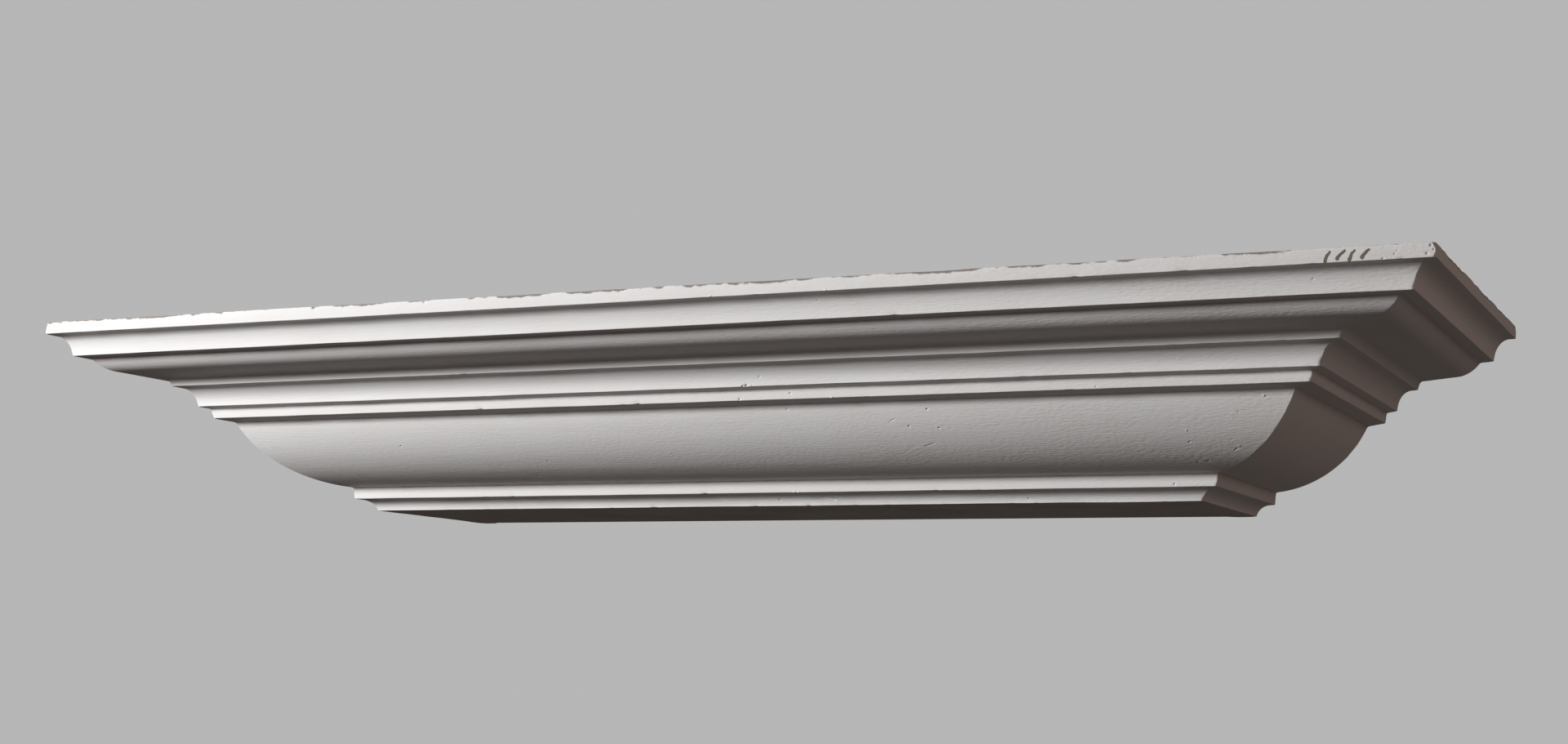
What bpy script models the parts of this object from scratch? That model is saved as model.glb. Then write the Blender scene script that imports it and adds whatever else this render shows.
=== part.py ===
"""A length of cast plaster cornice with a mitred return at each end.

The casting is one solid. Its mouldings run along the front, turn a mitred corner at each end and run back to
the wall, so every level of it is a rectangle in plan, and the solid is the stack of those rectangles.

Metres, +Z up. The wall face looks along +Y and the front along -Y. The origin is the middle of the flat bed
that the cornice stands on.
"""

from math import asin, cos, hypot, pi, radians, sin

import bmesh
import bpy

# The whole casting
TOP_LENGTH = 1.000
BED_DEPTH = 0.1485

# Mouldings from the bed upwards: how far each comes out from the one below, and how far it rises
FOOT_COVE_OUT = 0.0102
FOOT_COVE_RISE = 0.0083
FOOT_LEDGE_OUT = 0.0025
FOOT_LEDGE_RISE = 0.0002
FOOT_FILLET_OUT = 0.0006
FOOT_FILLET_RISE = 0.0087
GREAT_OVOLO_OUT = 0.0642
GREAT_OVOLO_RISE = 0.0450
GREAT_OVOLO_SWEEP = radians(60)
QUIRK_OUT = 0.0123
QUIRK_RISE = 0.0019
MIDDLE_FILLET_OUT = 0.0008
MIDDLE_FILLET_RISE = 0.0072
MIDDLE_LEDGE_OUT = 0.0074
MIDDLE_LEDGE_RISE = 0.0010
BED_COVE_OUT = 0.0102
BED_COVE_RISE = 0.0140
BED_LEDGE_OUT = 0.0041
BED_LEDGE_RISE = 0.0002
FASCIA_OUT = 0.0032
FASCIA_RISE = 0.0060
SOFFIT_OUT = 0.0225
SOFFIT_RISE = 0.0022
DRIP_OVOLO_OUT = 0.0155
DRIP_OVOLO_RISE = 0.0093
DRIP_OVOLO_SWEEP = radians(54)
DRIP_LEDGE_OUT = 0.0095
DRIP_LEDGE_RISE = 0.0005
CROWN_COVE_OUT = 0.0105
CROWN_COVE_RISE = 0.0150
CROWN_LEDGE_OUT = 0.0040
TOP_FILLET_RISE = 0.0090

# How finely the curved mouldings are faceted, and where shading breaks at an arris
SEGMENT_ANGLE = radians(7.5)
ARRIS_ANGLE = radians(20)

# The look of the bare plaster
PLASTER_COLOUR = (0.70, 0.68, 0.66, 1.0)
PLASTER_ROUGHNESS = 0.85


class Profile:
    """A pen that draws the section of the mouldings from the bed upwards.

    Each point is (projection, height): how far the surface stands out from the foot of the profile, and how
    high it is above the bed.
    """

    def __init__(self):
        self.points = [(0.0, 0.0)]

    def straight(self, out, rise):
        """Draws a fillet, a ledge or a soffit: a straight run to a point further out and higher."""
        projection, height = self.points[-1]
        self.points.append((projection + out, height + rise))

    def cove(self, out, rise):
        """Draws a hollow quarter of an ellipse that starts upright and ends level."""
        projection, height = self.points[-1]
        steps = segments(pi / 2)
        for step in range(1, steps + 1):
            turn = (pi / 2) * step / steps
            self.points.append((projection + out * (1 - cos(turn)), height + rise * sin(turn)))

    def ovolo(self, out, rise, sweep):
        """Draws a round arc of the given sweep that swells out and down between its two ends."""
        projection, height = self.points[-1]
        chord = hypot(out, rise)
        radius = chord / (2 * sin(sweep / 2))
        first_slope = asin(rise / chord) - sweep / 2
        centre_projection = projection - radius * sin(first_slope)
        centre_height = height + radius * cos(first_slope)
        steps = segments(sweep)
        for step in range(1, steps + 1):
            slope = first_slope + sweep * step / steps
            self.points.append((centre_projection + radius * sin(slope), centre_height - radius * cos(slope)))


def segments(sweep):
    """Gives how many flat facets stand for a curve that turns through the given angle."""
    return max(2, round(sweep / SEGMENT_ANGLE))


def cornice_profile():
    """Draws the mouldings one after another, from the foot to the top fillet."""
    pen = Profile()
    pen.cove(FOOT_COVE_OUT, FOOT_COVE_RISE)
    pen.straight(FOOT_LEDGE_OUT, FOOT_LEDGE_RISE)
    pen.straight(FOOT_FILLET_OUT, FOOT_FILLET_RISE)
    pen.ovolo(GREAT_OVOLO_OUT, GREAT_OVOLO_RISE, GREAT_OVOLO_SWEEP)
    pen.straight(QUIRK_OUT, QUIRK_RISE)
    pen.straight(MIDDLE_FILLET_OUT, MIDDLE_FILLET_RISE)
    pen.straight(MIDDLE_LEDGE_OUT, MIDDLE_LEDGE_RISE)
    pen.cove(BED_COVE_OUT, BED_COVE_RISE)
    pen.straight(BED_LEDGE_OUT, BED_LEDGE_RISE)
    pen.cove(FASCIA_OUT, FASCIA_RISE)
    pen.straight(SOFFIT_OUT, SOFFIT_RISE)
    pen.ovolo(DRIP_OVOLO_OUT, DRIP_OVOLO_RISE, DRIP_OVOLO_SWEEP)
    pen.straight(DRIP_LEDGE_OUT, DRIP_LEDGE_RISE)
    pen.cove(CROWN_COVE_OUT, CROWN_COVE_RISE)
    pen.straight(CROWN_LEDGE_OUT, 0.0)
    pen.straight(0.0, TOP_FILLET_RISE)
    return pen.points


def level_corners(projection, height, overhang):
    """Gives the four plan corners of one level, from the left end at the wall round to the right end.

    The wall face stays in one plane, and the other three sides stand out by the level's projection. overhang
    is the profile's whole projection, which sets how long the foot is under the full length of the top.
    """
    half_length = TOP_LENGTH / 2 - overhang + projection
    wall_y = BED_DEPTH / 2
    front_y = wall_y - BED_DEPTH - projection
    return [
        (-half_length, wall_y, height),
        (-half_length, front_y, height),
        (half_length, front_y, height),
        (half_length, wall_y, height),
    ]


def build_cornice_mesh():
    """Stacks the levels into one closed mesh: mouldings on three sides, flat wall face, bed and top."""
    profile = cornice_profile()
    overhang = profile[-1][0]
    form = bmesh.new()
    levels = [[form.verts.new(corner) for corner in level_corners(*point, overhang)] for point in profile]
    for below, above in zip(levels, levels[1:]):
        for side in range(3):
            form.faces.new((below[side], below[side + 1], above[side + 1], above[side]))
    wall_outline = [level[0] for level in levels] + [level[3] for level in reversed(levels)]
    form.faces.new(wall_outline)
    form.faces.new(reversed(levels[0]))
    form.faces.new(levels[-1])
    bmesh.ops.recalc_face_normals(form, faces=form.faces)
    mesh = bpy.data.meshes.new("cornice")
    form.to_mesh(mesh)
    form.free()
    mesh.shade_smooth()
    mesh.set_sharp_from_angle(angle=ARRIS_ANGLE)
    return mesh


def plaster():
    """Makes the material of the bare cast plaster."""
    material = bpy.data.materials.new("cast_plaster")
    material.use_nodes = True
    shader = material.node_tree.nodes["Principled BSDF"]
    shader.inputs["Base Color"].default_value = PLASTER_COLOUR
    shader.inputs["Roughness"].default_value = PLASTER_ROUGHNESS
    shader.inputs["Metallic"].default_value = 0.0
    material.diffuse_color = PLASTER_COLOUR
    return material


def clear_scene():
    """Removes whatever objects the file opened with."""
    for leftover in list(bpy.data.objects):
        bpy.data.objects.remove(leftover, do_unlink=True)


def build():
    """Builds the casting as one named object."""
    clear_scene()
    cornice = bpy.data.objects.new("cornice", build_cornice_mesh())
    cornice.data.materials.append(plaster())
    bpy.context.scene.collection.objects.link(cornice)


build()
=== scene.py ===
"""The look of a length of cast plaster cornice, worn and struck by hand, round the frame's plain solid.

The frame gives every size: the section of the mouldings is read off the solid where its right-hand return
meets the wall. The casting is then swept again as one fine mesh with softened arrises, rubbed corners, a
ragged top edge, strike waves, nicks and air bubbles, and it is finished in bare plaster. Metres, +Z up,
front along -Y.
"""

import logging
from dataclasses import dataclass, field
from enum import Enum
from math import atan2, cos, pi, radians, sin, tan

import bmesh
import bpy
import numpy as np
from mathutils import Matrix, Vector
from mathutils.geometry import delaunay_2d_cdt

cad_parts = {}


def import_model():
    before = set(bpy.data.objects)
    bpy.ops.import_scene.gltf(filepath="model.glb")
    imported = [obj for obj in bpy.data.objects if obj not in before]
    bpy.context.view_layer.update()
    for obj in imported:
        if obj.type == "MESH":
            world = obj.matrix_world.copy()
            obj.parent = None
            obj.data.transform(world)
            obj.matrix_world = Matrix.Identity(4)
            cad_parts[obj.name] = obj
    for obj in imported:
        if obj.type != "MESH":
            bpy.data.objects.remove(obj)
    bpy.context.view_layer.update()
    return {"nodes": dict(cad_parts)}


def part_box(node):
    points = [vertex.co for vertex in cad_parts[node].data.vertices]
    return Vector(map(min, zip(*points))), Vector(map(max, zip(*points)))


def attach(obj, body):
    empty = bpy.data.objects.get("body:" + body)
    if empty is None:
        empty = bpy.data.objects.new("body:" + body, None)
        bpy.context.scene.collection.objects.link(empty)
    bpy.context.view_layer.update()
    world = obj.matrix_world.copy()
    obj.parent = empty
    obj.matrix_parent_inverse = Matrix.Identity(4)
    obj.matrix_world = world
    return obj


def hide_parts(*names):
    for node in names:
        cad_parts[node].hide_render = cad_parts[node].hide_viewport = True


LOG = logging.getLogger("cornice")
NODE = "cornice"
MM = 0.001
# Places nearer to each other than this are the same one, and so are those with the same decimals of a metre
SAME = 0.01 * MM
DECIMALS = 6

Colour = tuple[float, float, float]
Place = tuple[float, float, float]
Span = tuple[float, float]
Outline = list[tuple[float, float]]
Ring = list[bmesh.types.BMVert]


def ease(share: np.ndarray | float) -> np.ndarray | float:
    """Eases a share from 0 to 1 so that it starts and ends without a crease."""
    return share * share * (3 - 2 * share)


def fall(distance: np.ndarray, reach: np.ndarray | float) -> np.ndarray:
    """Falls straight from 1 at no distance to 0 at the reach."""
    return np.clip(1 - distance / reach, 0, 1)


def climb(value: np.ndarray, low: float, high: float) -> np.ndarray:
    """Climbs straight from 0 at the low value to 1 at the high one."""
    return np.clip((value - low) / (high - low), 0, 1)


class Bend(Enum):
    """How the section turns at one of its points."""

    NONE = "none"
    ARRIS = "arris"
    INNER = "inner corner"


class Side(Enum):
    """The three faces that the mouldings run along."""

    LEFT_RETURN = -1
    FRONT = 0
    RIGHT_RETURN = 1


class Finish(Enum):
    """The two finishes of the casting, in the order of its material slots."""

    STRUCK = 0
    TROWELLED = 1


class Mark(Enum):
    """What the casting's points carry for the finish to read, each from 0 to 1."""

    # Near an inner corner: the finish paints it darker there, as painted shade with a dusty deposit
    RECESS = "recess"
    # Near an arris: the finish paints it paler there, as a painted highlight with rubbing
    RUBBED = "rubbed"
    BROKEN_EDGE = "broken_edge"


@dataclass(frozen=True)
class SectionPoint:
    """One point of the mouldings' section.

    Args:
        out: How far the point stands out from the foot of the profile, in metres.
        height: Its height above the bed, in metres.
        bend: Whether the section turns sharply there.
    """

    out: float
    height: float
    bend: Bend = Bend.NONE


@dataclass(frozen=True)
class Station:
    """One line across the mouldings: which side it is on, and how far along that side.

    Args:
        side: The side that the line crosses.
        share: The share of the side's length, from the left on the front and from the wall on a return.
    """

    side: Side
    share: float


def side_row(stations: list[Station]) -> np.ndarray:
    """Gives the side of each station, as one row of -1, 0 and 1."""
    return np.array([station.side.value for station in stations])[None, :]


@dataclass(frozen=True)
class WornCorner:
    """A mitred corner that is rubbed rounder than the rest over part of its height.

    Args:
        side: The return whose corner it is.
        height: The middle of the worn part, above the bed.
        spread: Half the height of the worn part.
        radius: How far the corner is rubbed round there.
    """

    side: Side
    height: float
    spread: float
    radius: float


@dataclass(frozen=True)
class Blemish:
    """A nick, an air bubble, a lump or a scratch in the front of the casting.

    Args:
        along: How far it is to the right of the cornice's middle.
        height: How high it is above the bed.
        reach: Its radius.
        depth: How deep it goes, or how proud it stands where negative.
        run: Where a scratch ends, along and up from where it starts.
        flat: How much of its floor is flat, from 0 for a cone to 1 for a punched hole.
    """

    along: float
    height: float
    reach: float
    depth: float
    run: Span = (0.0, 0.0)
    flat: float = 0.3

    @classmethod
    def in_mm(cls, *sizes: float, run: Span = (0.0, 0.0), flat: float = 0.3) -> "Blemish":
        """Makes one from its along, height, reach, depth and run in millimetres."""
        return cls(*[size * MM for size in sizes], run=(run[0] * MM, run[1] * MM), flat=flat)


class Grain:
    """Smooth random numbers over a plane, the same in each run."""

    SIZE = 256
    MIDDLE = 0.5

    def __init__(self, seed: int, across: float = 1.0, along: float = 1.0, strength: float = 1.0) -> None:
        """Draws the table of values that the plane repeats.

        Args:
            seed: Picks the table.
            across: The spacing of the values in the first direction.
            along: The spacing of the values in the second direction.
            strength: How far they go above and below 0.
        """
        self.table = np.random.default_rng(seed).uniform(-1.0, 1.0, (self.SIZE, self.SIZE))
        self.across, self.along, self.strength = across, along, strength

    def __call__(self, across: np.ndarray, along: np.ndarray) -> np.ndarray:
        """Reads the grain.

        Args:
            across: First coordinate of each point.
            along: Second coordinate of each point.

        Returns:
            The value at each point.
        """
        across, along = across / self.across, along / self.along
        column, row = np.floor(across), np.floor(along)
        ease_x, ease_y = ease(across - column), ease(along - row)
        i, j = column.astype(int) % self.SIZE, row.astype(int) % self.SIZE
        next_i, next_j = (i + 1) % self.SIZE, (j + 1) % self.SIZE
        near = self.table[i, j] * (1 - ease_x) + self.table[next_i, j] * ease_x
        far = self.table[i, next_j] * (1 - ease_x) + self.table[next_i, next_j] * ease_x
        return self.strength * (near * (1 - ease_y) + far * ease_y)

    def line(self, across: np.ndarray) -> np.ndarray:
        """Reads the grain along one line in its first direction."""
        return self(across, np.full_like(across, self.MIDDLE * self.along))


@dataclass
class Section:
    """The mouldings' section, read off the frame's solid and prepared for a fine sweep.

    Args:
        arris_radius: How far each outer edge is rubbed round.
        inner_radius: How far plaster fills each inner corner.
        arc_steps: How many straight pieces the arc at a corner has.
        arc_share: The most that the arc takes of a stretch beside it.
        step: The longest straight piece that the section keeps.
        sharp_turn: A turn above this is an arris or an inner corner, and below it part of a curve.
        straight_ratio: A stretch this much longer than the facet beside it is a straight one.
        lips: How far in from their edges the sweep covers the top and the bed.
        points: The points of the section, from the bed to the top, as read.
        bed_height: The level of the bed, as read.
        top_height: The level of the top, as read.
        top_out: How far the top stands out from the foot, as read.
        foot_half: Half the length of the foot, as read.
        foot_front: Where the front of the foot is along Y, as read.
        wall_y: Where the wall face is along Y, as read.
    """

    arris_radius: float = 0.7 * MM
    inner_radius: float = 0.5 * MM
    arc_steps: int = 3
    arc_share: float = 0.4
    step: float = 2.0 * MM
    sharp_turn: float = radians(20)
    straight_ratio: float = 1.8
    lips: tuple[float, ...] = (14 * MM, 8 * MM, 4 * MM, 1.8 * MM)
    points: list[SectionPoint] = field(init=False)
    bed_height: float = field(init=False)
    top_height: float = field(init=False)
    top_out: float = field(init=False)
    foot_half: float = field(init=False)
    foot_front: float = field(init=False)
    wall_y: float = field(init=False)

    def read(self, solid: bpy.types.Object) -> None:
        """Reads the section where the right-hand return meets the wall, then smooths and softens it.

        Args:
            solid: The frame's own solid.
        """
        low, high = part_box(NODE)
        corners = [vertex.co for vertex in solid.data.vertices]
        wall = [corner for corner in corners if corner.x > 0 and high.y - corner.y < SAME]
        self.bed_height, self.top_height = low.z, high.z
        self.foot_half = min(corner.x for corner in wall)
        self.foot_front = min(corner.y for corner in corners if corner.z - low.z < SAME)
        self.wall_y = high.y
        places = {(round(c.x - self.foot_half, DECIMALS), round(c.z - low.z, DECIMALS)) for c in wall}
        plain = sorted(places, key=lambda place: (place[1], place[0]))
        self.top_out = plain[-1][0]
        bed_lip = [(-lip, plain[0][1]) for lip in self.lips]
        top_lip = [(self.top_out - lip, plain[-1][1]) for lip in reversed(self.lips)]
        self.points = self._soften(self._bend_facets(bed_lip + plain + top_lip))

    def _soften(self, plain: Outline) -> list[SectionPoint]:
        """Turns each sharp corner into a small arc.

        Args:
            plain: The corners of the section, bed to top.

        Returns:
            The section's points with arcs in place of its sharp corners.
        """
        softened = [SectionPoint(*plain[0])]
        for before, here, after in zip(plain, plain[1:], plain[2:]):
            first = Vector(here) - Vector(before)
            second = Vector(after) - Vector(here)
            turn = atan2(first.cross(second), first.dot(second))
            if abs(turn) < self.sharp_turn:
                softened.append(SectionPoint(*here))
                continue
            bend = Bend.ARRIS if turn > 0 else Bend.INNER
            radius = self.arris_radius if turn > 0 else self.inner_radius
            most = self.arc_share * min(first.length, second.length)
            reach = min(radius * tan(abs(turn) / 2), most)
            start = Vector(here) - first.normalized() * reach
            end = Vector(here) + second.normalized() * reach
            softened.extend(self._arc(start, Vector(here), end, bend))
        softened.append(SectionPoint(*plain[-1]))
        return softened

    def _arc(self, start: Vector, corner: Vector, end: Vector, bend: Bend) -> list[SectionPoint]:
        """Bends the section round one corner as a short curve.

        Args:
            start: Where the curve leaves the stretch that comes to the corner.
            corner: The sharp corner.
            end: Where it joins the stretch that leaves the corner.
            bend: The kind of corner, marked on the curve's points.

        Returns:
            The curve's points.
        """
        curve = []
        for step in range(self.arc_steps + 1):
            share = step / self.arc_steps
            place = start * (1 - share) ** 2 + corner * 2 * share * (1 - share) + end * share**2
            curve.append(SectionPoint(place.x, place.y, bend))
        return curve

    def _bend_facets(self, plain: Outline) -> Outline:
        """Bends the solid's facets back into the smooth mouldings that they stand for, in short steps.

        Args:
            plain: The corners of the section, bed to top.

        Returns:
            The same section with more points, its sharp corners in place.
        """
        stretches = [Vector(end) - Vector(start) for start, end in zip(plain, plain[1:])]
        neighbours = [None, *stretches, None]
        bent = [plain[0]]
        for corner, before, stretch, after in zip(plain, neighbours, stretches, neighbours[2:]):
            straight = stretch.normalized()
            leaving = self._joint(stretch, before)
            arriving = self._joint(stretch, after)
            if leaving is None and arriving is None:
                leaving = straight
            if leaving is None:
                leaving = straight * (2 * arriving.dot(straight)) - arriving
            if arriving is None:
                arriving = straight * (2 * leaving.dot(straight)) - leaving
            start, end = Vector(corner), Vector(corner) + stretch
            on_lip = start.x < 0 or min(start.y, end.y) > self.rise - SAME
            pieces = 1 if on_lip else max(1, round(stretch.length / self.step))
            for piece in range(1, pieces + 1):
                share = piece / pieces
                place = start.lerp(end, ease(share))
                place += leaving * (stretch.length * share * (1 - share) ** 2)
                place -= arriving * (stretch.length * share**2 * (1 - share))
                bent.append((place.x, place.y))
        return bent

    def _joint(self, stretch: Vector, other: Vector | None) -> Vector | None:
        """Finds the section's direction where one of its stretches meets another.

        Args:
            stretch: The first stretch.
            other: The stretch beside it, if there is one.

        Returns:
            The direction there, or None at a sharp corner and at either end of the section.
        """
        if other is None or stretch.angle(other) >= self.sharp_turn:
            return None
        short, long = sorted((stretch, other), key=lambda part: part.length)
        if long.length > self.straight_ratio * short.length:
            return long.normalized()
        return (stretch.normalized() + other.normalized()).normalized()

    @property
    def rise(self) -> float:
        """Gives how high the top is above the bed."""
        return self.top_height - self.bed_height

    @property
    def mitre_sum(self) -> float:
        """Gives |x| + y on both mitre planes, where the front meets the returns."""
        return self.foot_half + self.foot_front

    def outline(self) -> np.ndarray:
        """Gives the section as an array of (out, height)."""
        return np.array([(point.out, point.height) for point in self.points])

    def from_top(self) -> np.ndarray:
        """Gives the distance of each point from the edge of the top."""
        return np.linalg.norm(self.outline() - (self.top_out, self.points[-1].height), axis=1)

    def normals(self) -> np.ndarray:
        """Gives the section's outward unit normal at each point, as (out, height)."""
        tangent = np.gradient(self.outline(), axis=0)
        tangent /= np.linalg.norm(tangent, axis=1, keepdims=True)
        return np.stack([tangent[:, 1], -tangent[:, 0]], axis=1)

    def travel(self) -> np.ndarray:
        """Gives the distance along the section to each point."""
        steps = np.linalg.norm(np.diff(self.outline(), axis=0), axis=1)
        return np.concatenate([[0.0], np.cumsum(steps)])

    def nearness(self, bend: Bend, reach: float) -> np.ndarray:
        """Says how near each point is to a corner of one kind.

        Args:
            bend: The kind of corner.
            reach: The distance at which nearness falls to 0.

        Returns:
            1 at such a corner, falling smoothly to 0 at the reach.
        """
        travel = self.travel()
        marked = [place for place, point in zip(travel, self.points) if point.bend is bend]
        return ease(fall(np.min(np.abs(travel[:, None] - np.array(marked)[None, :]), axis=1), reach))

    def along(self, places: np.ndarray, sides: np.ndarray) -> np.ndarray:
        """Gives distances along the mouldings, which run on round the mitres from the front's middle.

        Args:
            places: Positions of the sweep, section points by stations by three.
            sides: The side of each station, as one row.

        Returns:
            The distance of each point, negative to the left.
        """
        outs = self.outline()[:, :1]
        from_mitre = places[..., 1] - (self.foot_front - outs)
        return np.where(sides == 0, places[..., 0], sides * (self.foot_half + outs + from_mitre))

    def front_place(self, along: float, height: float) -> Vector:
        """Finds a place on the true front surface.

        Args:
            along: How far it is to the right of the middle.
            height: How high it is above the bed.

        Returns:
            The place in space.
        """
        outline = self.outline()[len(self.lips) : -len(self.lips)]
        out = float(np.interp(height, outline[:, 1], outline[:, 0]))
        return Vector((along, self.foot_front - out, self.bed_height + height))


@dataclass
class Casting:
    """The sweep of the section round the cornice's three sides.

    Args:
        section: The prepared section.
        front_step: The spacing of the lines across the front's mouldings.
        right_step: The spacing on the right-hand return.
        left_step: The spacing on the left-hand return.
        mitre_steps: How far from each mitre its own close lines lie.
        wall_steps: How far from the wall each return's last lines lie.
        fill_step: The spacing of the points inside the flat faces.
        fill_gap: How far such a point keeps from the edge's points, as a share of the spacing.
        fill_merge: Points of a flat face nearer to each other than this become one.
    """

    section: Section
    front_step: float = 3.5 * MM
    right_step: float = 5.0 * MM
    left_step: float = 7.0 * MM
    mitre_steps: tuple[float, ...] = (0.4 * MM, 0.8 * MM, 1.3 * MM, 2.0 * MM, 3.0 * MM, 4.4 * MM)
    wall_steps: tuple[float, ...] = (0.0, 0.6 * MM, 1.6 * MM, 3.2 * MM)
    fill_step: float = 9.0 * MM
    fill_gap: float = 0.4
    fill_merge: float = 0.0001 * MM

    def stations(self) -> list[Station]:
        """Lays out the lines across the mouldings, close together beside the mitres.

        Returns:
            The lines from the left return's wall end to the right return's.
        """
        front_length = 2 * (self.section.foot_half + self.section.top_out)
        near = [step / front_length for step in self.mitre_steps]
        middle = self._spread(near[-1], 1 - near[-1], front_length, self.front_step)
        front = [0.0, *near, *middle[1:-1], *[1 - share for share in reversed(near)], 1.0]
        left = [Station(Side.LEFT_RETURN, share) for share in self._return_shares(self.left_step)]
        right = [Station(Side.RIGHT_RETURN, share) for share in self._return_shares(self.right_step)]
        return left + [Station(Side.FRONT, share) for share in front] + right[::-1]

    def _return_shares(self, step: float) -> list[float]:
        """Lays out one return's lines.

        Args:
            step: The spacing of the lines between its two ends.

        Returns:
            Their shares of its length, from the wall to just before the mitre.
        """
        section = self.section
        length = section.wall_y - section.foot_front + section.top_out
        wall_end = [gap / length for gap in self.wall_steps]
        mitre_end = [1 - gap / length for gap in reversed(self.mitre_steps)]
        middle = self._spread(wall_end[-1], mitre_end[0], length, step)
        return wall_end + middle[1:-1] + mitre_end

    @staticmethod
    def _spread(first: float, last: float, length: float, step: float) -> list[float]:
        """Spreads shares of a side evenly.

        Args:
            first: The first share.
            last: The last one.
            length: The length of the side.
            step: About how far apart two lines are.

        Returns:
            The shares, with the first and the last one.
        """
        count = max(2, round((last - first) * length / step))
        return [first + (last - first) * index / count for index in range(count + 1)]

    def places(
        self, outs: np.ndarray, heights: np.ndarray, stations: list[Station], radii: np.ndarray
    ) -> np.ndarray:
        """Puts each point of the sweep in space, with the mitred corners rubbed round.

        Args:
            outs: How far out each point is, one row a section point and one column a station.
            heights: Its height above the bed, in the same layout.
            stations: The lines across the mouldings.
            radii: How far the nearest mitred corner is rubbed round, in the same layout.

        Returns:
            An array of positions, section points by stations by three.
        """
        section = self.section
        shares = np.array([station.share for station in stations])[None, :]
        sides = side_row(stations)
        half = section.foot_half + outs
        front = section.foot_front - outs
        on_front = np.broadcast_to(sides == 0, outs.shape)
        x = np.where(on_front, half * (2 * shares - 1), half * sides)
        y = np.where(on_front, front, section.wall_y + (front - section.wall_y) * shares)
        hand = np.where(on_front, np.sign(x), sides)
        from_mitre = np.where(on_front, half - np.abs(x), y - front)
        turn = pi / 4 * fall(from_mitre, radii)
        rounded = from_mitre < radii
        slid = radii * (1 - np.sin(turn))
        sunk = radii * (1 - np.cos(turn))
        x = np.where(rounded, hand * (half - np.where(on_front, slid, sunk)), x)
        y = np.where(rounded, front + np.where(on_front, sunk, slid), y)
        return np.stack([x, y, section.bed_height + heights], axis=2)


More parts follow.
